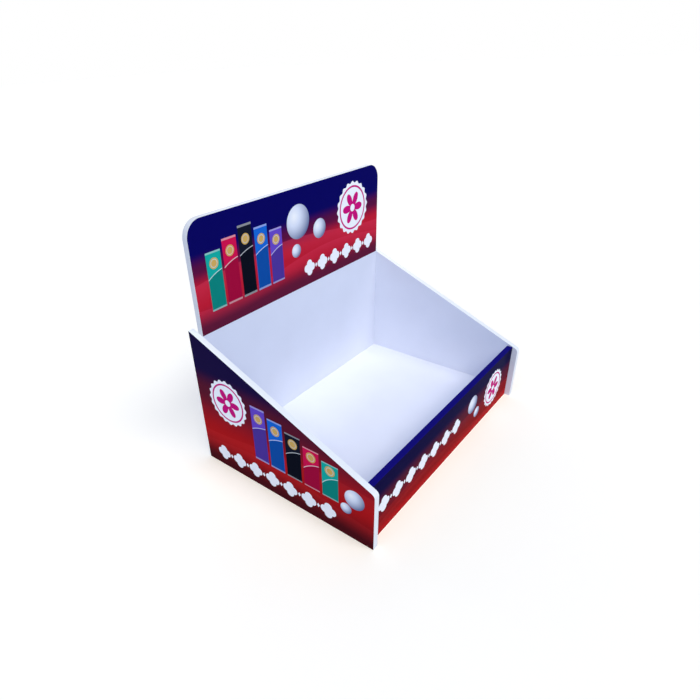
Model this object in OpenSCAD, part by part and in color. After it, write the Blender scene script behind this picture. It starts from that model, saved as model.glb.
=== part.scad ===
// Counter display stand of foam board: an open tray between two sloping side boards,
// with a tall back board as its header and printed film on the faces that the buyer sees.
// X runs across the stand, -Y is its front, and the ground is at Z = 0 under its middle.

/* [Stand] */
// Width over the outer faces of the two side boards
stand_w = 720; // [500:5:1000]
// Depth of the side boards, from front edge to rear edge
stand_d = 500; // [400:5:700]
// Height of the back board from the ground to its top edge
stand_h = 600; // [500:5:900]
// Thickness of every board
board_t = 15; // [12:1:20]

/* [Side boards] */
// Height of a side board at its rear edge
side_rear_h = 360; // [280:5:420]
// Height at which the sloping top edge would meet the front edge
side_front_h = 150; // [120:5:240]
// Radius of the corner between the sloping top edge and the front edge
side_corner_r = 12; // [5:1:60]

/* [Cross boards] */
// Distance of the front and back boards from the side boards' edges
cross_set_in = 15; // [10:1:40]
// Clear height under the floor board
floor_lift = 12; // [6:1:30]
// Radius of the header's top corners
header_corner_r = 40; // [5:1:100]
// Radius of the front board's top corners
front_corner_r = 4; // [2:0.5:20]

/* [Joints] */
// Reach of a stub tenon into the board that it is glued into
tenon_reach = 7; // [3:0.5:9]
// Length of a tenon along the edges of the back and floor boards
tenon_len = 80; // [40:5:100]
// Length of a tenon along the ends of the front board
front_tenon_len = 60; // [30:5:70]
// Room for glue round a tenon in its mortise
glue_gap = 0.2; // [0.1:0.05:0.5]

/* [Print] */
// Thickness of the printed film
film_t = 0.2; // [0.1:0.05:0.5]
// Margin between the film and the edges of its board
film_margin = 0.5; // [0.2:0.1:3]

/* [Hidden] */
$fn = 96;

// How far a cut runs past the solid that it cuts
overrun = 1;

// Clear width between the side boards
inner_w = stand_w - 2 * board_t;
// Faces of the front and back boards across the depth
front_face_y = -stand_d / 2 + cross_set_in;
front_rear_y = front_face_y + board_t;
back_rear_y = stand_d / 2 - cross_set_in;
back_face_y = back_rear_y - board_t;
// The floor board fills the room between them
floor_d = back_face_y - front_rear_y;
floor_mid_y = (front_rear_y + back_face_y) / 2;
floor_mid_z = floor_lift + board_t / 2;

// Angle of the side boards' top edge to the ground
slope = atan((side_rear_h - side_front_h) / stand_d);
// The front board's top and the print's lower edge on the header both meet the sloping edge
front_h = slope_z(front_face_y);
header_z = slope_z(back_face_y);

// Middles of the tenons, as shares of the edges that they stand on
back_tenon_shares = [0.28, 0.75];
front_tenon_share = 0.55;
floor_end_shares = [-0.3, 0.3];
floor_edge_shares = [-0.32, 0, 0.32];

board_colour = [0.93, 0.95, 0.98];
film_colour = [0.10, 0.06, 0.36];

// Height of the side boards' sloping edge above a place along the depth
function slope_z(y) = side_front_h + (y + stand_d / 2) * tan(slope);

// Outline of a side board seen from its side, drawn as Y and Z, all edges moved in by an inset
module side_outline(inset = 0) {
    r = side_corner_r - inset;
    front_y = -stand_d / 2 + inset;
    rear_y = stand_d / 2 - inset;
    arc_mid = [
        -stand_d / 2 + side_corner_r,
        slope_z(-stand_d / 2 + side_corner_r) - side_corner_r / cos(slope)
    ];
    polygon([
        [front_y, inset],
        [rear_y, inset],
        [rear_y, slope_z(rear_y) - inset / cos(slope)],
        arc_mid + r * [-sin(slope), cos(slope)],
        arc_mid,
        arc_mid - [r, 0]
    ]);
    translate(arc_mid) circle(r);
}

// Outline of an upright board with round top corners, drawn as X and Z from its lower edge
module round_top_outline(w, h, r) {
    translate([-w / 2, 0]) square([w, h - r]);
    translate([-w / 2 + r, 0]) square([w - 2 * r, h]);
    for (side = [-1, 1])
        translate([side * (w / 2 - r), h - r]) circle(r);
}

// A sheet with an outline in Y and Z, whose left face is at x
module side_sheet(x, t) {
    translate([x, 0, 0]) rotate([90, 0, 90]) linear_extrude(t) children();
}

// A sheet with an outline in X and Z, whose front face is at y
module cross_sheet(y, t) {
    translate([0, y + t, 0]) rotate([90, 0, 0]) linear_extrude(t) children();
}

// Bars across the back board, whose ends stand out of it as tenons. A gap gives their mortises
module back_tenons(gap = 0) {
    for (share = back_tenon_shares)
        translate([0, (back_face_y + back_rear_y) / 2, share * header_z])
            cube([inner_w, board_t, tenon_len] + 2 * [tenon_reach + gap, gap, gap], center = true);
}

// The bar across the front board
module front_tenons(gap = 0) {
    translate([0, (front_face_y + front_rear_y) / 2, front_tenon_share * front_h])
        cube([inner_w, board_t, front_tenon_len] + 2 * [tenon_reach + gap, gap, gap], center = true);
}

// The floor board's bars from side to side
module floor_end_tenons(gap = 0) {
    for (share = floor_end_shares)
        translate([0, floor_mid_y + share * floor_d, floor_mid_z])
            cube([inner_w, tenon_len, board_t] + 2 * [tenon_reach + gap, gap, gap], center = true);
}

// The floor board's bars from front to back
module floor_edge_tenons(gap = 0) {
    for (share = floor_edge_shares)
        translate([share * inner_w, floor_mid_y, floor_mid_z])
            cube([tenon_len, floor_d, board_t] + 2 * [gap, tenon_reach + gap, gap], center = true);
}

// A side board with blind mortises in its inner face
module side_board(x) {
    difference() {
        side_sheet(x, board_t) side_outline();
        back_tenons(glue_gap);
        front_tenons(glue_gap);
        floor_end_tenons(glue_gap);
    }
}

module left_board() {
    color(board_colour) side_board(-stand_w / 2);
}

module right_board() {
    color(board_colour) side_board(inner_w / 2);
}

// The back board, up to the header's round corners
module back_board() {
    color(board_colour) difference() {
        union() {
            cross_sheet(back_face_y, board_t) round_top_outline(inner_w, stand_h, header_corner_r);
            back_tenons();
        }
        floor_edge_tenons(glue_gap);
    }
}

module floor_board() {
    color(board_colour) {
        translate([0, floor_mid_y, floor_mid_z]) cube([inner_w, floor_d, board_t], center = true);
        floor_end_tenons();
        floor_edge_tenons();
    }
}

module front_board() {
    color(board_colour) difference() {
        union() {
            cross_sheet(front_face_y, board_t) round_top_outline(inner_w, front_h, front_corner_r);
            front_tenons();
        }
        floor_edge_tenons(glue_gap);
    }
}

module left_film() {
    color(film_colour) side_sheet(-stand_w / 2 - film_t, film_t) side_outline(film_margin);
}

module right_film() {
    color(film_colour) side_sheet(stand_w / 2, film_t) side_outline(film_margin);
}

// Film on the header, from the side boards' top edges up to the margin below the round corners
module header_film() {
    color(film_colour)
        translate([0, 0, header_z])
            cross_sheet(back_face_y - film_t, film_t)
                round_top_outline(
                    inner_w - 2 * film_margin,
                    stand_h - header_z - film_margin,
                    header_corner_r - film_margin
                );
}

// Film on the front board's face that folds over its top edge and round its top corners
module front_film() {
    color(film_colour) intersection() {
        difference() {
            cross_sheet(front_face_y - film_t, film_t + board_t - film_margin)
                round_top_outline(inner_w + 2 * film_t, front_h + film_t, front_corner_r + film_t);
            cross_sheet(front_face_y, board_t + overrun)
                round_top_outline(inner_w, front_h, front_corner_r);
        }
        translate([-inner_w / 2 + film_margin, front_face_y - board_t, film_margin])
            cube([inner_w - 2 * film_margin, 3 * board_t, front_h + board_t]);
    }
}

left_board();
right_board();
back_board();
floor_board();
front_board();
left_film();
right_film();
header_film();
front_film();
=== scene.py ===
from math import atan2, cos, pi, radians, sin, tan

import bmesh
import bpy
from mathutils import Matrix, Vector


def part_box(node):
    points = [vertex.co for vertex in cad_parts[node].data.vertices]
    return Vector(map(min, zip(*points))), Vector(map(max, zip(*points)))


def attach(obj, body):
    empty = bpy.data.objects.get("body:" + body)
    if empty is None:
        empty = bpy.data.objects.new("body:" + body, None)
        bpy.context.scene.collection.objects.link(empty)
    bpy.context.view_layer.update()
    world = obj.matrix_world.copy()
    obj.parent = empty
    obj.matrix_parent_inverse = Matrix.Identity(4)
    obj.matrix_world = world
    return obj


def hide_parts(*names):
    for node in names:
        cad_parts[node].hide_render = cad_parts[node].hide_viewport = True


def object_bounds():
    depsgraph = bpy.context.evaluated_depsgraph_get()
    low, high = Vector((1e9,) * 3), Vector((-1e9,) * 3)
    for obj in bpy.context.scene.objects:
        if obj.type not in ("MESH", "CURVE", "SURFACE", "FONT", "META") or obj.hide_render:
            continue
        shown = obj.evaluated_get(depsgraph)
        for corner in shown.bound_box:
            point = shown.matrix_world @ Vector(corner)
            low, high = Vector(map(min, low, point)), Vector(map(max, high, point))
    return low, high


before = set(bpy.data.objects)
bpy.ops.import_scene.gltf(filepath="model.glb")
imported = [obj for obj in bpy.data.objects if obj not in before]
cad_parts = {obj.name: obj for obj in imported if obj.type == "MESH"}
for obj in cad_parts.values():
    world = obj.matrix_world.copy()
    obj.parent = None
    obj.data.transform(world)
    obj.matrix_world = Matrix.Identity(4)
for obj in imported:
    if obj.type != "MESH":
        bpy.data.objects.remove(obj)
CAD_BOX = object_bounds()

bl_info = {
    "name": "Foam board display stand",
    "version": (1, 0, 0),
    "blender": (4, 5, 0),
    "location": "3D View > Sidebar > Stand",
    "description": "A counter display stand of foam board with printed film on its outer faces",
    "category": "Add Mesh",
}

# The boards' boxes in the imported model. Those of the cross boards reach to the ends of their tenons
SIDE_LOW, SIDE_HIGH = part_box("right_board")
BACK_LOW, BACK_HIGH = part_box("back_board")
FLOOR_LOW, FLOOR_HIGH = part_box("floor_board")
FRONT_LOW, FRONT_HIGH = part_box("front_board")

BOARD = SIDE_HIGH.x - SIDE_LOW.x
INNER_HALF = SIDE_LOW.x
OUTER_HALF = SIDE_HIGH.x
DEPTH_HALF = SIDE_HIGH.y
SIDE_REAR_H = SIDE_HIGH.z

# Middles of the tenons, as shares of the edges that they stand on
BACK_TENON_SHARES = (0.28, 0.75)
FRONT_TENON_SHARE = 0.55
FLOOR_END_SHARES = (-0.3, 0.3)
FLOOR_EDGE_SHARES = (-0.32, 0.0, 0.32)

# How many faces a round corner and an eased edge have
CORNER_STEPS = 24
EASE_STEPS = 3

# Faces that meet at more than this angle have a crease between them
SHARP_ANGLE = radians(30)

# Least part of a broad face's normal that lies along the board's thickness. Other faces are cut edges
BROAD_SHARE = 0.95


def from_screen(red, green, blue):
    """A colour as a screen gives it, from 0 to 255, in Blender's linear values, by the sRGB curve."""
    shares = (c / 255 for c in (red, green, blue))
    return tuple(c / 12.92 if c <= 0.04045 else ((c + 0.055) / 1.055) ** 2.4 for c in shares)


def length(name, description, default):
    return bpy.props.FloatProperty(
        name=name, description=description, default=default, precision=4, unit="LENGTH"
    )


def colour(name, description, red, green, blue):
    return bpy.props.FloatVectorProperty(
        name=name,
        description=description,
        default=from_screen(red, green, blue),
        min=0.0,
        max=1.0,
        subtype="COLOR",
    )


def angle(name, description, degrees):
    return bpy.props.FloatProperty(
        name=name, description=description, default=radians(degrees), subtype="ANGLE"
    )


def light_strength(name, description, default):
    return bpy.props.FloatProperty(name=name, description=description, default=default)


class StandSizes(bpy.types.PropertyGroup):
    """Sizes of the boards that their boxes don't give."""

    ease: length("Eased edge", "Radius that the cut edges are eased to", 0.0008)
    side_front: length("Side front", "Height where the sloping edge would meet the front edge", 0.150)
    side_corner: length("Side corner", "Radius of the side boards' front corner", 0.012)
    header_corner: length("Header corner", "Radius of the header's top corners", 0.040)
    front_corner: length("Front corner", "Radius of the front board's top corners", 0.004)
    tenon: length("Tenon", "Length of a tenon on the back and floor boards", 0.080)
    front_tenon: length("Front tenon", "Length of a tenon on the front board", 0.060)
    glue_gap: length("Glue gap", "Room for glue round a tenon", 0.0002)


class PrintSizes(bpy.types.PropertyGroup):
    """Sizes of the motifs on the film."""

    header_seal: length("Header seal", "Radius of the scalloped seal on the header", 0.070)
    side_seal: length("Side seal", "Radius of the scalloped seal on a side", 0.060)
    front_seal: length("Front seal", "Radius of the scalloped seal on the front", 0.054)
    pack: length("Pack", "Width of a printed pack", 0.042)
    pack_pitch: length("Pack pitch", "Distance from one pack to the next", 0.049)
    pearl: length("Pearl", "Radius of the largest pearl", 0.042)
    foil: length("Quatrefoil", "Half the width of a quatrefoil in the white row", 0.021)
    foil_pitch: length("Quatrefoil pitch", "Distance from one quatrefoil to the next", 0.054)
    blur: length("Ink edge", "Half the width over which the edge of an ink fades", 0.0002)


class InkColours(bpy.types.PropertyGroup):
    """Inks of the print."""

    navy: colour("Navy", "Top of the header", 11, 9, 93)
    indigo: colour("Indigo", "Fold of the front film", 21, 16, 115)
    dusk: colour("Dusk", "Top of the sides", 28, 18, 63)
    night: colour("Night", "Top of the front", 15, 10, 60)
    plum: colour("Plum", "Where the header turns from navy to red", 92, 20, 64)
    maroon: colour("Maroon", "Where the sides and the front turn from dusk to red", 92, 26, 46)
    crimson: colour("Crimson", "Brightest red of the header", 196, 30, 52)
    red: colour("Red", "Brightest red of the sides, and lower edge of the front", 181, 24, 28)
    brick: colour("Brick", "Brightest red of the front", 141, 17, 22)
    wine: colour("Wine", "Lower edge of the header", 100, 28, 56)
    oxblood: colour("Oxblood", "Lower edge of the sides", 78, 18, 26)
    glow: colour("Glow", "Soft waves over the header's red", 226, 62, 92)
    ember: colour("Ember", "Soft waves over the red of the sides and the front", 214, 52, 56)
    white: colour("White", "Unprinted ground of seals and of the row", 251, 251, 254)
    magenta: colour("Magenta", "Ring and flower of a seal", 206, 22, 122)
    gold: colour("Gold", "Roundel on a pack", 214, 172, 92)
    silver: colour("Silver", "Tone between the light and the dark side of a pearl", 226, 232, 246)
    steel: colour("Steel", "Dark side of a pearl", 74, 92, 142)
    black: colour("Black", "Ground of the black pack", 22, 26, 42)
    cherry: colour("Cherry", "Ground of the cherry pack", 214, 22, 78)
    violet: colour("Violet", "Ground of the violet pack", 104, 74, 196)
    blue: colour("Blue", "Ground of the blue pack", 26, 104, 208)
    teal: colour("Teal", "Ground of the teal pack", 22, 172, 158)


class BoardColours(bpy.types.PropertyGroup):
    """The foam board's own colours, and a darker colour for the back board's cut edges that is painted
    shade.
    """

    skin: colour("Skin", "Smooth faces of the board", 229, 233, 247)
    core: colour("Core", "Cut edges of the board", 240, 243, 246)
    # Painted shade: the back board's cut edges are darker than the other cut edges, which darkens the
    # header's side edges and its joint lines
    back_core: colour("Back core", "Cut edges of the back board, which are duller", 220, 221, 227)


class StudioSettings(bpy.types.PropertyGroup):
    """Camera and light."""

    azimuth: angle("Azimuth", "Turn of the camera about the stand, 0 in front of it", -48.954)
    elevation: angle("Elevation", "Height of the camera as an angle", 32.021)
    roll: angle("Roll", "Turn of the camera about its own axis", -2.9)
    distance: length("Distance", "From the camera to the point that it looks at", 1.3495)
    lens: bpy.props.FloatProperty(
        name="Lens", description="Focal length in millimetres", default=27.22, unit="CAMERA"
    )
    fill: light_strength("Fill", "Strength of the even light from all round", 0.39)
    key: light_strength("Key", "Strength of the soft light from the front left", 1.74)
    front: light_strength("Front", "Strength of the soft light from the front", 0.92)
    back: light_strength("Back", "Strength of the soft light from the rear right", 0.65)
    top: bpy.props.FloatProperty(
        name="Top",
        description="Power of the lamp above the rear of the tray",
        default=0.12,
        unit="POWER",
    )
    fill_colour: colour("Fill colour", "Colour of the even light", 117, 177, 255)
    lamp_colour: colour("Lamp colour", "Colour of the lamps", 255, 251, 238)


# Where the camera looks, and how far its frame is moved to take in the stand as the photograph does
CAMERA_AIM = Vector((-0.1235, 0.1048, 0.1617))
CAMERA_SHIFT = (0.057, 0.0434)
SENSOR = 36.0

# Where the lights come from, and how wide they are as angles, which sets how soft their shadows are
KEY_FROM = Vector((-0.58, -0.6, 1.0))
KEY_SPREAD = radians(40)
FRONT_FROM = Vector((0.15, -0.95, 1.45))
FRONT_SPREAD = radians(24)
BACK_FROM = Vector((0.5, 1.0, 0.45))
BACK_SPREAD = radians(70)

# Where the lamp above the tray hangs, its size across and along the depth, and the angle of its beam
TOP_PLACE = Vector((0.05, 0.17, 1.0))
TOP_SIZE = (0.7, 0.16)
TOP_SPREAD = radians(38)

# Width of the floor, and how far it lies below the stand, so that no two faces share a plane
FLOOR_WIDTH = 60.0
FLOOR_DROP = 0.0005

# The floor's own colour and roughness, and what is added where it is seen, so that it is just white
# outside its shadows
FLOOR_BASE = (0.95, 0.95, 0.95, 1.0)
FLOOR_ROUGH = 0.9
FLOOR_LIFT = (0.235, 0.175, 0.065, 1.0)


def settings(name):
    return getattr(bpy.context.scene, name)


# Modelling


def begin(piece):
    """Makes a piece the only one that is selected, and active."""
    if bpy.context.mode != "OBJECT":
        bpy.ops.object.mode_set(mode="OBJECT")
    bpy.ops.object.select_all(action="DESELECT")
    piece.select_set(True)
    bpy.context.view_layer.objects.active = piece


def add_block(name, low, high):
    """A block between two corners, with its place in its mesh."""
    low, high = Vector(low), Vector(high)
    bpy.ops.object.select_all(action="DESELECT")
    bpy.ops.mesh.primitive_cube_add(size=1, location=(low + high) / 2)
    piece = bpy.context.object
    piece.name = piece.data.name = name
    piece.scale = high - low
    bpy.ops.object.transform_apply(location=True, rotation=True, scale=True)
    return piece


def bevel_edges(piece, wanted, offset, steps):
    """Bevels the edges that wanted picks, with a round profile."""
    begin(piece)
    bpy.ops.object.mode_set(mode="EDIT")
    bpy.ops.mesh.select_mode(type="EDGE")
    bpy.ops.mesh.select_all(action="DESELECT")
    mesh = bmesh.from_edit_mesh(piece.data)
    for edge in mesh.edges:
        edge.select_set(wanted(edge))
    bmesh.update_edit_mesh(piece.data)
    bpy.ops.mesh.bevel(offset=offset, segments=steps, profile=0.5, affect="EDGES")
    bpy.ops.object.mode_set(mode="OBJECT")


def lies_at(edge, **places):
    """Whether both ends of an edge have these coordinates."""
    tolerance = 1e-5
    return all(
        abs(getattr(corner.co, axis) - place) < tolerance
        for corner in edge.verts
        for axis, place in places.items()
    )


def is_sharp(edge):
    return edge.calc_face_angle(0.0) > SHARP_ANGLE


def ease_edges(piece):
    bevel_edges(piece, is_sharp, settings("stand_sizes").ease, EASE_STEPS)


def cut_away(piece, point, normal, close):
    """Cuts off what lies beyond a plane, and closes the cut if asked to."""
    begin(piece)
    bpy.ops.object.mode_set(mode="EDIT")
    bpy.ops.mesh.select_all(action="SELECT")
    bpy.ops.mesh.bisect(plane_co=point, plane_no=normal, use_fill=close, clear_outer=True)
    bpy.ops.object.mode_set(mode="OBJECT")


def combine(piece, tools, operation):
    """Adds or cuts blocks, and deletes them afterwards."""
    for tool in tools:
        begin(piece)
        bpy.ops.object.modifier_add(type="BOOLEAN")
        modifier = piece.modifiers[-1]
        modifier.operation = operation
        modifier.solver = "EXACT"
        modifier.object = tool
        bpy.ops.object.modifier_apply(modifier=modifier.name)
        begin(tool)
        bpy.ops.object.delete()
    begin(piece)


def bar(mid, size, gap):
    """A block that crosses a board, whose ends stand out as tenons. A gap gives their mortises."""
    half = Vector(size) / 2 + Vector((gap, gap, gap))
    return add_block("bar", Vector(mid) - half, Vector(mid) + half)


def slope_angle():
    return atan2(SIDE_REAR_H - settings("stand_sizes").side_front, 2 * DEPTH_HALF)


def slope_height(y):
    return settings("stand_sizes").side_front + (y + DEPTH_HALF) * tan(slope_angle())


def back_bars(gap=0.0):
    mid_y = (BACK_LOW.y + BACK_HIGH.y) / 2
    size = (2 * BACK_HIGH.x, BOARD, settings("stand_sizes").tenon)
    joint_h = slope_height(BACK_LOW.y)
    return [bar((0, mid_y, share * joint_h), size, gap) for share in BACK_TENON_SHARES]


def front_bars(gap=0.0):
    mid_y = (FRONT_LOW.y + FRONT_HIGH.y) / 2
    size = (2 * FRONT_HIGH.x, BOARD, settings("stand_sizes").front_tenon)
    return [bar((0, mid_y, FRONT_TENON_SHARE * FRONT_HIGH.z), size, gap)]


def floor_end_bars(gap=0.0):
    depth = BACK_LOW.y - FRONT_HIGH.y
    mid = (FLOOR_LOW + FLOOR_HIGH) / 2
    size = (2 * FLOOR_HIGH.x, settings("stand_sizes").tenon, BOARD)
    return [bar((0, mid.y + share * depth, mid.z), size, gap) for share in FLOOR_END_SHARES]


def floor_edge_bars(gap=0.0):
    mid = (FLOOR_LOW + FLOOR_HIGH) / 2
    size = (settings("stand_sizes").tenon, FLOOR_HIGH.y - FLOOR_LOW.y, BOARD)
    return [bar((2 * share * INNER_HALF, mid.y, mid.z), size, gap) for share in FLOOR_EDGE_SHARES]


def side_blank(name, low_x, high_x, inset=0.0):
    """A sheet with a side board's outline, all edges moved in by an inset."""
    sizes = settings("stand_sizes")
    edge = DEPTH_HALF - inset
    slope = slope_angle()
    drop = inset / cos(slope)
    sheet = add_block(name, (low_x, -edge, inset), (high_x, edge, SIDE_REAR_H))
    cut_away(sheet, (0, 0, slope_height(0) - drop), (0, -sin(slope), cos(slope)), True)
    corner_z = slope_height(-edge) - drop
    turn = pi / 2 - slope
    offset = (sizes.side_corner - inset) * tan(turn / 2)
    bevel_edges(sheet, lambda e: lies_at(e, y=-edge, z=corner_z), offset, CORNER_STEPS)
    return sheet


def round_top_blank(name, low, high, radius):
    """An upright sheet with round top corners."""
    sheet = add_block(name, low, high)
    for x in (low[0], high[0]):
        bevel_edges(sheet, lambda e: lies_at(e, x=x, z=high[2]), radius, CORNER_STEPS)
    return sheet


def faces_along(axis):
    """A test that tells the normals of a board's two broad faces from those of its cut edges."""
    return lambda normal: abs(getattr(normal, axis)) > BROAD_SHARE


def finish_piece(piece, node, materials, is_face=None):
    """Smooths a piece, gives it its materials and puts it in its node's place.

    Flat faces stay flat. With is_face, the faces that pass the test get the first material and the others
    the second.
    """
    begin(piece)
    bpy.ops.object.shade_smooth_by_angle(angle=SHARP_ANGLE)
    bpy.ops.object.modifier_add(type="WEIGHTED_NORMAL")
    modifier = piece.modifiers[-1]
    modifier.keep_sharp = True
    bpy.ops.object.modifier_apply(modifier=modifier.name)
    piece.data.materials.clear()
    for material in materials:
        piece.data.materials.append(material)
    if is_face:
        for polygon in piece.data.polygons:
            polygon.material_index = 0 if is_face(polygon.normal) else 1
    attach(piece, "root")
    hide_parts(node)


# Materials

WHITE = (1.0, 1.0, 1.0, 1.0)

# Sockets of a Mix node that mixes colours
MIX_BELOW = 6
MIX_ABOVE = 7
MIX_RESULT = 2

# How steeply the upper edge of a veil comes in, as a share of its strength in each metre
VEIL_EDGE = 800.0

# The laminate over the print: how much it reflects, how rough it is, and its faint haze and unevenness
LAMINATE_SPECULAR = 0.002
LAMINATE_ROUGH = (0.12, 0.22)
HAZE_SCALE = 14.0
HAZE_DETAIL = 3.0
PEEL_SCALE = 260.0
PEEL_DETAIL = 2.0
PEEL_BUMP = 0.06
PEEL_DEPTH = 0.0004

# The board: how much it reflects, the faint cloud in its white, what its cells add to its roughness, and
# how strongly they show as bumps
BOARD_SPECULAR = 0.35
CLOUD_SCALE = 9.0
CLOUD_DETAIL = 4.0
CLOUD_STOPS = (0.3, 0.7)
CLOUD_SHADES = (0.96, 1.0)
CELL_ROUGH = 0.12
CELL_BUMP = 0.25

# Size of the cells in metres, their depth in metres and the least roughness, of the skin and of cut edges
SKIN_GRAIN = (0.0012, 0.00004, 0.30)
CORE_GRAIN = (0.0007, 0.00015, 0.50)

# Parts of a seal, as shares of its radius, and how many scallops and petals it has
SCALLOPS = 20
SCALLOP_DEPTH = 0.035
SEAL_RING = 0.80
SEAL_RING_HALF = 0.035
PETALS = 6
PETAL_FOOT = 0.22
PETAL_REACH = 0.40
FLOWER_EYE = 0.14

# Where a pearl is lit and how far from there it is dark, as shares of its radius, and where its silver
# lies on the way
PEARL_LIT = (-0.34, 0.36)
PEARL_DARK = 1.55
PEARL_SILVER = 0.35

# What makes an ink pale and deep for the other tones of a pack, and how strongly foot and seams are laid
PACK_PALE = 0.55
PACK_DEEP = 0.42
FOOT_STRENGTH = 0.75
SEAM_STRENGTH = 0.5

# Parts of a pack. The arc's middle is given in shares of its width and of its height. The arc's radius, the
# roundel's place and the seams are shares of its height, and the rest are shares of its width
ARC_MID = (0.9, -0.12)
ARC_RADIUS = 0.80
ARC_HALF = 0.022
ROUNDEL_PLACE = 0.80
ROUNDEL_RADIUS = 0.30
ROUNDEL_RING = 0.21
ROUNDEL_RING_HALF = 0.018
SEAM_PLACE = 0.485
SEAM_HALF = 0.015

# A lozenge in the row: its half width as a share of a quatrefoil's, what its height counts against its
# width, and what brings the sum of the two back to about a distance
LOZENGE_HALF = 0.2
LOZENGE_SQUAT = 0.7
LOZENGE_SLOPE = 0.8

# Inks of the ground, and where each of them is pure, from 0 at the foot of the print to 1 at its top
HEADER_FADE = ((0.06, "wine"), (0.28, "crimson"), (0.42, "crimson"), (0.585, "plum"), (0.73, "navy"))
SIDE_FADE = ((0.03, "oxblood"), (0.27, "red"), (0.60, "maroon"), (0.76, "dusk"))
FRONT_FADE = ((0.05, "red"), (0.20, "brick"), (0.56, "maroon"), (0.80, "night"))

# Soft waves in the print: the middle height of each, its swing, its length, the angle at which it starts,
# the depth over which it fades, and its strength
HEADER_WAVES = (
    (0.118, 0.020, 0.95, 2.2, 0.050, 0.35),
    (0.072, 0.018, 0.75, 0.6, 0.040, 0.28),
)
SIDE_WAVES = (
    (0.118, 0.024, 0.90, 0.4, 0.050, 0.20),
    (0.070, 0.018, 0.70, 2.0, 0.040, 0.16),
)
FRONT_WAVES = (
    (0.062, 0.012, 0.90, 1.0, 0.035, 0.16),
    (0.035, 0.010, 0.70, 2.6, 0.025, 0.14),
)

# Motifs of the print, in metres: the foot of the first pack, the packs' inks and heights, the pearls'
# places and shares of the largest radius, the seal's place, the first quatrefoil's place, and how many
# quatrefoils there are
HEADER_MOTIFS = {
    "packs_at": (-0.285, 0.045),
    "packs": (("teal", 0.132), ("cherry", 0.150), ("black", 0.166), ("blue", 0.150), ("violet", 0.132)),
    "pearls": ((-0.006, 0.172, 1.0), (0.076, 0.136, 0.6), (-0.018, 0.102, 0.4)),
    "seal_at": (0.222, 0.156),
    "row_at": (0.030, 0.044),
    "row_count": 6,
}
SIDE_MOTIFS = {
    "packs_at": (-0.055, 0.082),
    "packs": (("violet", 0.148), ("blue", 0.134), ("black", 0.120), ("cherry", 0.106), ("teal", 0.092)),
    "pearls": ((0.202, 0.112, 0.58), (0.181, 0.078, 0.33)),
    "seal_at": (-0.150, 0.204),
    "row_at": (-0.190, 0.042),
    "row_count": 7,
}
FRONT_MOTIFS = {
    "packs_at": (0.0, 0.0),
    "packs": (),
    "pearls": ((0.110, 0.094, 0.6), (0.142, 0.054, 0.36)),
    "seal_at": (0.238, 0.078),
    "row_at": (-0.302, 0.078),
    "row_count": 7,
}


class Formula:
    """A number in a node tree, so that a printed shape can be written as a sum."""

    def __init__(self, tree, socket):
        self.tree = tree
        self.socket = socket

    def feed(self, socket):
        self.tree.links.new(self.socket, socket)

    def math(self, operation, *others):
        node = self.tree.nodes.new("ShaderNodeMath")
        node.operation = operation
        for socket, value in zip(node.inputs, (self, *others)):
            set_input(socket, value)
        return Formula(self.tree, node.outputs[0])

    def mapped(self, old, new):
        """This number moved from an old range to a new one, and held within the new one."""
        node = self.tree.nodes.new("ShaderNodeMapRange")
        self.feed(node.inputs["Value"])
        node.inputs["From Min"].default_value = old[0]
        node.inputs["From Max"].default_value = old[1]
        node.inputs["To Min"].default_value = new[0]
        node.inputs["To Max"].default_value = new[1]
        return Formula(self.tree, node.outputs[0])

    def __add__(self, other):
        return self.math("ADD", other)

    def __sub__(self, other):
        return self.math("SUBTRACT", other)

    def __mul__(self, other):
        return self.math("MULTIPLY", other)

    def __truediv__(self, other):
        return self.math("DIVIDE", other)

    def __abs__(self):
        return self.math("ABSOLUTE")


def set_input(socket, value):
    if isinstance(value, Formula):
        value.feed(socket)
    else:
        socket.default_value = value


def hypot(u, v):
    return (u * u + v * v).math("SQRT")


def disc(u, v, radius):
    return hypot(u, v) - radius


def box(u, v, half_w, half_h):
    return (abs(u) - half_w).math("MAXIMUM", abs(v) - half_h)


def ring(distance, half_width):
    return abs(distance) - half_width


def add_noise(tree, place, scale, detail):
    """Noise from 0 to 1."""
    noise = tree.nodes.new("ShaderNodeTexNoise")
    noise.inputs["Scale"].default_value = scale
    noise.inputs["Detail"].default_value = detail
    tree.links.new(place, noise.inputs["Vector"])
    return Formula(tree, noise.outputs[0])


def add_bump(tree, height, strength, depth):
    """Roughens a surface by a height from 0 to 1, times a depth in metres."""
    bump = tree.nodes.new("ShaderNodeBump")
    bump.inputs["Strength"].default_value = strength
    bump.inputs["Distance"].default_value = depth
    height.feed(bump.inputs["Height"])
    tree.links.new(bump.outputs[0], tree.nodes["Principled BSDF"].inputs["Normal"])


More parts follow.
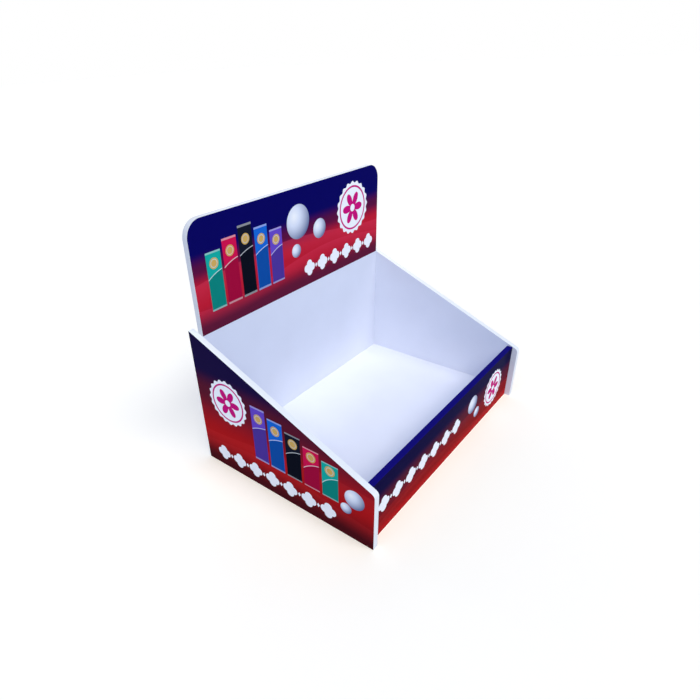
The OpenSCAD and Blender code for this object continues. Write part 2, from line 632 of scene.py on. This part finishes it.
class Film:
    """The print on one face: inks laid one over another. u runs to the right and v up, in metres."""

    def __init__(self, name):
        self.material = bpy.data.materials.new(name)
        self.material.use_nodes = True
        self.tree = self.material.node_tree
        self.place = self.tree.nodes.new("ShaderNodeTexCoord").outputs["Object"]
        split = self.tree.nodes.new("ShaderNodeSeparateXYZ")
        self.tree.links.new(self.place, split.inputs[0])
        self.x, self.y, self.z = (Formula(self.tree, socket) for socket in split.outputs)
        self.colour = None

    def fade(self, share, stops):
        """The ground: inks that fade into each other along a share from 0 to 1."""
        inks = settings("ink_colours")
        ramp = self.tree.nodes.new("ShaderNodeValToRGB")
        ramp.color_ramp.interpolation = "EASE"
        elements = ramp.color_ramp.elements
        while len(elements) < len(stops):
            elements.new(0.5)
        for element, (place, ink) in zip(elements, stops):
            element.position = place
            element.color = (*getattr(inks, ink), 1.0)
        share.feed(ramp.inputs[0])
        self.colour = ramp.outputs[0]

    def cover(self, ink, strength):
        """Mixes an ink over what is printed so far."""
        mix = self.tree.nodes.new("ShaderNodeMix")
        mix.data_type = "RGBA"
        strength.feed(mix.inputs["Factor"])
        self.tree.links.new(self.colour, mix.inputs[MIX_BELOW])
        if isinstance(ink, bpy.types.NodeSocket):
            self.tree.links.new(ink, mix.inputs[MIX_ABOVE])
        else:
            mix.inputs[MIX_ABOVE].default_value = (*ink, 1.0)
        self.colour = mix.outputs[MIX_RESULT]

    def lay(self, ink, distance, strength=1.0):
        """Prints an ink where a distance is below zero."""
        blur = settings("print_sizes").blur
        self.cover(ink, distance.mapped((blur, -blur), (0.0, strength)))

    def veil(self, ink, distance, depth, strength):
        """Prints an ink that starts where a distance falls below zero and fades out at a depth."""
        below = distance.mapped((-depth, 0.0), (0.0, strength))
        edge = (distance * -VEIL_EDGE).math("MINIMUM", 1.0).math("MAXIMUM", 0.0)
        self.cover(ink, below * edge)

    def finish(self):
        """Lays the gloss laminate over the print."""
        shader = self.tree.nodes["Principled BSDF"]
        self.tree.links.new(self.colour, shader.inputs["Base Color"])
        shader.inputs["Specular IOR Level"].default_value = LAMINATE_SPECULAR
        haze = add_noise(self.tree, self.place, HAZE_SCALE, HAZE_DETAIL)
        haze.mapped((0.0, 1.0), LAMINATE_ROUGH).feed(shader.inputs["Roughness"])
        peel = add_noise(self.tree, self.place, PEEL_SCALE, PEEL_DETAIL)
        add_bump(self.tree, peel, PEEL_BUMP, PEEL_DEPTH)
        return self.material


def lay_waves(film, ink, u, v, waves):
    """Veils of lighter red that hang from wavy lines, sharp above and fading downwards."""
    for mid, swing, span, phase, depth, strength in waves:
        line = (u * (2 * pi / span) + phase).math("SINE") * swing + mid
        film.veil(ink, v - line, depth, strength)


def lay_seal(film, u, v, radius):
    """A white seal with a scalloped rim, a ring and a six-petalled flower."""
    inks = settings("ink_colours")
    turn = v.math("ARCTAN2", u)
    reach = hypot(u, v) / radius
    scallop = (turn * SCALLOPS).math("COSINE") * SCALLOP_DEPTH + (1.0 - SCALLOP_DEPTH)
    film.lay(inks.white, (reach - scallop) * radius)
    film.lay(inks.magenta, ring(reach - SEAL_RING, SEAL_RING_HALF) * radius)
    petal = abs((turn * (PETALS / 2)).math("COSINE")) * PETAL_REACH + PETAL_FOOT
    film.lay(inks.magenta, (reach - petal) * radius)
    film.lay(inks.white, (reach - FLOWER_EYE) * radius)


def lay_pearl(film, u, v, radius):
    """A silver ball, lit from its upper left."""
    inks = settings("ink_colours")
    lit_u, lit_v = (share * radius for share in PEARL_LIT)
    ramp = film.tree.nodes.new("ShaderNodeValToRGB")
    ramp.color_ramp.elements[0].color = WHITE
    ramp.color_ramp.elements[1].color = (*inks.steel, 1.0)
    ramp.color_ramp.elements.new(PEARL_SILVER).color = (*inks.silver, 1.0)
    shade = hypot(u - lit_u, v - lit_v) / (PEARL_DARK * radius)
    shade.feed(ramp.inputs[0])
    film.lay(ramp.outputs[0], disc(u, v, radius))


def lay_pack(film, u, v, width, height, ink):
    """A plain pack that stands on v = 0: a darker foot, a pale arc, a gold roundel and two seams."""
    pale = [PACK_PALE + (1.0 - PACK_PALE) * c for c in ink]
    deep = [PACK_DEEP * c for c in ink]
    up = v - height / 2
    outline = box(u, up, width / 2, height / 2)
    film.lay(ink, outline)
    sweep = disc(u - ARC_MID[0] * width, v - ARC_MID[1] * height, ARC_RADIUS * height)
    film.lay(deep, outline.math("MAXIMUM", sweep), FOOT_STRENGTH)
    film.lay(pale, outline.math("MAXIMUM", ring(sweep, ARC_HALF * width)))
    from_roundel = v - ROUNDEL_PLACE * height
    film.lay(settings("ink_colours").gold, disc(u, from_roundel, ROUNDEL_RADIUS * width))
    film.lay(pale, ring(disc(u, from_roundel, ROUNDEL_RING * width), ROUNDEL_RING_HALF * width))
    seam = box(u, abs(up) - SEAM_PLACE * height, width / 2, SEAM_HALF * height)
    film.lay(pale, seam, SEAM_STRENGTH)


def lay_row(film, u, v, count):
    """A white row of quatrefoils with small lozenges between them, from u = 0 to the right."""
    sizes = settings("print_sizes")
    white = settings("ink_colours").white
    leaf = sizes.foil / 2
    for i in range(count):
        along = u - i * sizes.foil_pitch
        across = hypot(abs(along) - leaf, v)
        upright = hypot(along, abs(v) - leaf)
        film.lay(white, across.math("MINIMUM", upright) - leaf)
        if i:
            between = abs(along + sizes.foil_pitch / 2) + abs(v) * LOZENGE_SQUAT
            film.lay(white, (between - LOZENGE_HALF * sizes.foil) * LOZENGE_SLOPE)


def lay_motifs(film, u, v, motifs, seal_radius):
    """Lays the packs, the pearls, the seal and the row in their places."""
    inks, sizes = settings("ink_colours"), settings("print_sizes")
    first_u, foot_v = motifs["packs_at"]
    for i, (ink, tall) in enumerate(motifs["packs"]):
        pack_u = first_u + i * sizes.pack_pitch
        lay_pack(film, u - pack_u, v - foot_v, sizes.pack, tall, getattr(inks, ink))
    for pearl_u, pearl_v, share in motifs["pearls"]:
        lay_pearl(film, u - pearl_u, v - pearl_v, share * sizes.pearl)
    seal_u, seal_v = motifs["seal_at"]
    lay_seal(film, u - seal_u, v - seal_v, seal_radius)
    row_u, row_v = motifs["row_at"]
    lay_row(film, u - row_u, v - row_v, motifs["row_count"])


def header_print():
    """Film of the header, whose print starts where the header meets the sloping edges."""
    base = slope_height(BACK_LOW.y)
    film = Film("Header print")
    u, v = film.x, film.z - base
    film.fade(v / (BACK_HIGH.z - base), HEADER_FADE)
    lay_waves(film, settings("ink_colours").glow, u, v, HEADER_WAVES)
    lay_motifs(film, u, v, HEADER_MOTIFS, settings("print_sizes").header_seal)
    return film.finish()


def side_print(name, to_right, with_motifs):
    """Film of a side board. to_right is 1 where +Y is to the right of someone who faces the board."""
    film = Film(name)
    u, v = film.y * to_right, film.z
    film.fade(v / SIDE_REAR_H, SIDE_FADE)
    lay_waves(film, settings("ink_colours").ember, u, v, SIDE_WAVES)
    if with_motifs:
        lay_motifs(film, u, v, SIDE_MOTIFS, settings("print_sizes").side_seal)
    return film.finish()


def front_print():
    """Film of the front board, with one ink on the fold over its top edge."""
    inks = settings("ink_colours")
    film = Film("Front print")
    u, v = film.x, film.z
    film.fade(v / FRONT_HIGH.z, FRONT_FADE)
    film.lay(inks.indigo, (v - FRONT_HIGH.z + settings("stand_sizes").ease) * -1.0)
    lay_waves(film, inks.ember, u, v, FRONT_WAVES)
    lay_motifs(film, u, v, FRONT_MOTIFS, settings("print_sizes").front_seal)
    return film.finish()


def board_material(name, tint, grain):
    """Expanded board: a faint cloud in its white, and a grain of closed cells."""
    material = bpy.data.materials.get(name)
    if material:
        return material
    cell, depth, rough = grain
    material = bpy.data.materials.new(name)
    material.use_nodes = True
    tree = material.node_tree
    shader = tree.nodes["Principled BSDF"]
    shader.inputs["Specular IOR Level"].default_value = BOARD_SPECULAR
    place = tree.nodes.new("ShaderNodeTexCoord").outputs["Object"]
    ramp = tree.nodes.new("ShaderNodeValToRGB")
    for element, stop, shade in zip(ramp.color_ramp.elements, CLOUD_STOPS, CLOUD_SHADES):
        element.position = stop
        element.color = (*[shade * c for c in tint], 1.0)
    add_noise(tree, place, CLOUD_SCALE, CLOUD_DETAIL).feed(ramp.inputs[0])
    tree.links.new(ramp.outputs[0], shader.inputs["Base Color"])
    voronoi = tree.nodes.new("ShaderNodeTexVoronoi")
    voronoi.inputs["Scale"].default_value = 1 / cell
    tree.links.new(place, voronoi.inputs["Vector"])
    cells = Formula(tree, voronoi.outputs["Distance"])
    cells.mapped((0.0, 1.0), (rough, rough + CELL_ROUGH)).feed(shader.inputs["Roughness"])
    add_bump(tree, cells, CELL_BUMP, depth)
    return material


def board_materials(core="core"):
    """The board's smooth skin, and the open cells of its cut edges in the colour that core names, which for
    the back board is darker as painted shade.
    """
    colours = settings("board_colours")
    return (
        board_material("Board skin", colours.skin, SKIN_GRAIN),
        board_material(f"Board {core}", getattr(colours, core), CORE_GRAIN),
    )


# Pieces


class STAND_OT_side_boards(bpy.types.Operator):
    """The two sloping side boards, with blind mortises in their inner faces"""

    bl_idname = "stand.side_boards"
    bl_label = "Side Boards"

    def execute(self, context):
        gap = settings("stand_sizes").glue_gap
        for name, low_x, high_x in (
            ("left_side_board", -OUTER_HALF, -INNER_HALF),
            ("right_side_board", INNER_HALF, OUTER_HALF),
        ):
            piece = side_blank(name, low_x, high_x)
            ease_edges(piece)
            combine(piece, back_bars(gap) + front_bars(gap) + floor_end_bars(gap), "DIFFERENCE")
            node = name.replace("_side", "")
            finish_piece(piece, node, board_materials(), faces_along("x"))
        return {"FINISHED"}


class STAND_OT_back_board(bpy.types.Operator):
    """The tall back board, whose upper part is the header"""

    bl_idname = "stand.back_board"
    bl_label = "Back Board"

    def execute(self, context):
        sizes = settings("stand_sizes")
        low = (-INNER_HALF, BACK_LOW.y, BACK_LOW.z)
        high = (INNER_HALF, BACK_HIGH.y, BACK_HIGH.z)
        piece = round_top_blank("header_back_board", low, high, sizes.header_corner)
        ease_edges(piece)
        combine(piece, back_bars(), "UNION")
        combine(piece, floor_edge_bars(sizes.glue_gap), "DIFFERENCE")
        # The back board's cut edges take the darker colour, which is painted shade on the header's side
        # edges and in the joints
        materials = board_materials("back_core")
        finish_piece(piece, "back_board", materials, faces_along("y"))
        return {"FINISHED"}


class STAND_OT_floor_board(bpy.types.Operator):
    """The tray's floor, with tenons on all four edges"""

    bl_idname = "stand.floor_board"
    bl_label = "Floor Board"

    def execute(self, context):
        low = (-INNER_HALF, FRONT_HIGH.y, FLOOR_LOW.z)
        high = (INNER_HALF, BACK_LOW.y, FLOOR_HIGH.z)
        piece = add_block("tray_floor_board", low, high)
        ease_edges(piece)
        combine(piece, floor_end_bars() + floor_edge_bars(), "UNION")
        finish_piece(piece, "floor_board", board_materials(), faces_along("z"))
        return {"FINISHED"}


class STAND_OT_front_board(bpy.types.Operator):
    """The low front board"""

    bl_idname = "stand.front_board"
    bl_label = "Front Board"

    def execute(self, context):
        sizes = settings("stand_sizes")
        low = (-INNER_HALF, FRONT_LOW.y, FRONT_LOW.z)
        high = (INNER_HALF, FRONT_HIGH.y, FRONT_HIGH.z)
        piece = round_top_blank("front_lip_board", low, high, sizes.front_corner)
        ease_edges(piece)
        combine(piece, front_bars(), "UNION")
        combine(piece, floor_edge_bars(sizes.glue_gap), "DIFFERENCE")
        finish_piece(piece, "front_board", board_materials(), faces_along("y"))
        return {"FINISHED"}


class STAND_OT_side_films(bpy.types.Operator):
    """Printed film on the outer faces of the side boards"""

    bl_idname = "stand.side_films"
    bl_label = "Side Films"

    def execute(self, context):
        for side, to_right, with_motifs in (("left", -1.0, True), ("right", 1.0, False)):
            low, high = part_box(f"{side}_film")
            piece = side_blank(f"{side}_print", low.x, high.x, low.y + DEPTH_HALF)
            material = side_print(f"{side.capitalize()} print", to_right, with_motifs)
            finish_piece(piece, f"{side}_film", [material])
        return {"FINISHED"}


class STAND_OT_header_film(bpy.types.Operator):
    """Printed film on the front of the header"""

    bl_idname = "stand.header_film"
    bl_label = "Header Film"

    def execute(self, context):
        low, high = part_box("header_film")
        radius = settings("stand_sizes").header_corner - (INNER_HALF - high.x)
        piece = round_top_blank("header_print", low, high, radius)
        finish_piece(piece, "header_film", [header_print()])
        return {"FINISHED"}


class STAND_OT_front_film(bpy.types.Operator):
    """Printed film on the front board, folded over its top edge and round its corners"""

    bl_idname = "stand.front_film"
    bl_label = "Front Film"

    def execute(self, context):
        low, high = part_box("front_film")
        board_low = Vector((-INNER_HALF, FRONT_LOW.y, FRONT_LOW.z))
        board_high = Vector((INNER_HALF, FRONT_HIGH.y, FRONT_HIGH.z))
        radius = settings("stand_sizes").front_corner
        piece = round_top_blank("front_print", board_low, board_high, radius)
        ease_edges(piece)
        self.keep_covered_skin(piece, low, high)
        self.thicken(piece, board_low.y - low.y)
        finish_piece(piece, "front_film", [front_print()])
        return {"FINISHED"}

    def keep_covered_skin(self, piece, low, high):
        """Leaves of the board's skin only what the film covers: its face, its top and the corners."""
        cut_away(piece, (low.x, 0, 0), (-1, 0, 0), False)
        cut_away(piece, (high.x, 0, 0), (1, 0, 0), False)
        cut_away(piece, (0, high.y, 0), (0, 1, 0), False)
        cut_away(piece, (0, 0, low.z), (0, 0, -1), False)

    def thicken(self, piece, thickness):
        """Turns the skin into film that lies on the board."""
        begin(piece)
        bpy.ops.object.modifier_add(type="SOLIDIFY")
        modifier = piece.modifiers[-1]
        modifier.thickness = thickness
        modifier.offset = 1.0
        modifier.use_even_offset = True
        bpy.ops.object.modifier_apply(modifier=modifier.name)


# Studio


def seen_directly(tree):
    """A socket that is 1 for what is seen, straight or in a reflection, and 0 for other light."""
    rays = tree.nodes.new("ShaderNodeLightPath")
    seen = rays.outputs["Is Camera Ray"]
    for name in ("Is Glossy Ray", "Is Transmission Ray"):
        either = tree.nodes.new("ShaderNodeMath")
        either.operation = "MAXIMUM"
        tree.links.new(seen, either.inputs[0])
        tree.links.new(rays.outputs[name], either.inputs[1])
        seen = either.outputs[0]
    return seen


class STAND_OT_studio(bpy.types.Operator):
    """A pale floor, soft light and the camera"""

    bl_idname = "stand.studio"
    bl_label = "Studio"

    def execute(self, context):
        self.add_floor()
        self.light_world()
        studio = settings("studio_settings")
        self.add_sun("key_light", KEY_FROM, KEY_SPREAD, studio.key)
        self.add_sun("front_light", FRONT_FROM, FRONT_SPREAD, studio.front)
        self.add_sun("back_light", BACK_FROM, BACK_SPREAD, studio.back)
        self.add_top_lamp()
        self.add_camera()
        context.scene.view_settings.view_transform = "Standard"
        return {"FINISHED"}

    def add_floor(self):
        bpy.ops.object.select_all(action="DESELECT")
        bpy.ops.mesh.primitive_plane_add(size=FLOOR_WIDTH, location=(0, 0, CAD_BOX[0].z - FLOOR_DROP))
        floor = bpy.context.object
        floor.name = "studio_floor"
        bpy.ops.object.transform_apply(location=True, rotation=True, scale=True)
        material = bpy.data.materials.new("Studio floor")
        material.use_nodes = True
        tree = material.node_tree
        shader = tree.nodes["Principled BSDF"]
        shader.inputs["Base Color"].default_value = FLOOR_BASE
        shader.inputs["Roughness"].default_value = FLOOR_ROUGH
        shader.inputs["Specular IOR Level"].default_value = 0.0
        shader.inputs["Emission Color"].default_value = FLOOR_LIFT
        tree.links.new(seen_directly(tree), shader.inputs["Emission Strength"])
        floor.data.materials.append(material)

    def light_world(self):
        studio = settings("studio_settings")
        world = bpy.data.worlds.new("Studio")
        bpy.context.scene.world = world
        world.use_nodes = True
        tree = world.node_tree
        fill = tree.nodes["Background"]
        fill.inputs["Color"].default_value = (*studio.fill_colour, 1.0)
        fill.inputs["Strength"].default_value = studio.fill
        white = tree.nodes.new("ShaderNodeBackground")
        white.inputs["Color"].default_value = WHITE
        mix = tree.nodes.new("ShaderNodeMixShader")
        tree.links.new(seen_directly(tree), mix.inputs[0])
        tree.links.new(fill.outputs[0], mix.inputs[1])
        tree.links.new(white.outputs[0], mix.inputs[2])
        tree.links.new(mix.outputs[0], tree.nodes["World Output"].inputs[0])

    def add_sun(self, name, place, spread, strength):
        turn = place.to_track_quat("Z", "Y").to_euler()
        bpy.ops.object.light_add(type="SUN", location=place, rotation=turn)
        lamp = bpy.context.object
        lamp.name = name
        lamp.data.angle = spread
        lamp.data.energy = strength
        lamp.data.color = settings("studio_settings").lamp_colour

    def add_top_lamp(self):
        studio = settings("studio_settings")
        bpy.ops.object.light_add(type="AREA", location=TOP_PLACE)
        lamp = bpy.context.object
        lamp.name = "top_light"
        lamp.data.shape = "RECTANGLE"
        lamp.data.size, lamp.data.size_y = TOP_SIZE
        lamp.data.spread = TOP_SPREAD
        lamp.data.energy = studio.top
        lamp.data.color = studio.lamp_colour

    def add_camera(self):
        studio = settings("studio_settings")
        turn = (
            Matrix.Rotation(studio.azimuth, 4, "Z")
            @ Matrix.Rotation(pi / 2 - studio.elevation, 4, "X")
            @ Matrix.Rotation(studio.roll, 4, "Z")
        )
        bpy.ops.object.camera_add()
        camera = bpy.context.object
        camera.name = "camera"
        away = turn.to_3x3() @ Vector((0.0, 0.0, studio.distance))
        camera.matrix_world = Matrix.Translation(CAMERA_AIM + away) @ turn
        camera.data.sensor_width = SENSOR
        camera.data.lens = studio.lens
        camera.data.shift_x, camera.data.shift_y = CAMERA_SHIFT
        bpy.context.scene.camera = camera


OPERATORS = (
    STAND_OT_side_boards,
    STAND_OT_back_board,
    STAND_OT_floor_board,
    STAND_OT_front_board,
    STAND_OT_side_films,
    STAND_OT_header_film,
    STAND_OT_front_film,
    STAND_OT_studio,
)

GROUPS = {
    "stand_sizes": StandSizes,
    "print_sizes": PrintSizes,
    "ink_colours": InkColours,
    "board_colours": BoardColours,
    "studio_settings": StudioSettings,
}


class STAND_PT_panel(bpy.types.Panel):
    """Lists the pieces of the stand and their settings"""

    bl_label = "Display Stand"
    bl_idname = "STAND_PT_panel"
    bl_space_type = "VIEW_3D"
    bl_region_type = "UI"
    bl_category = "Stand"

    def draw(self, context):
        for operator in OPERATORS:
            self.layout.operator(operator.bl_idname)
        for name, group in GROUPS.items():
            column = self.layout.box().column()
            column.label(text=name.replace("_", " ").capitalize())
            for key in group.__annotations__:
                column.prop(getattr(context.scene, name), key)


CLASSES = (*GROUPS.values(), *OPERATORS, STAND_PT_panel)


def register():
    for cls in CLASSES:
        bpy.utils.register_class(cls)
    for name, group in GROUPS.items():
        setattr(bpy.types.Scene, name, bpy.props.PointerProperty(type=group))


def unregister():
    for name in GROUPS:
        delattr(bpy.types.Scene, name)
    for cls in reversed(CLASSES):
        bpy.utils.unregister_class(cls)


def main():
    register()
    for operator in OPERATORS:
        group, name = operator.bl_idname.split(".")
        getattr(getattr(bpy.ops, group), name)()


if __name__ == "__main__":
    main()
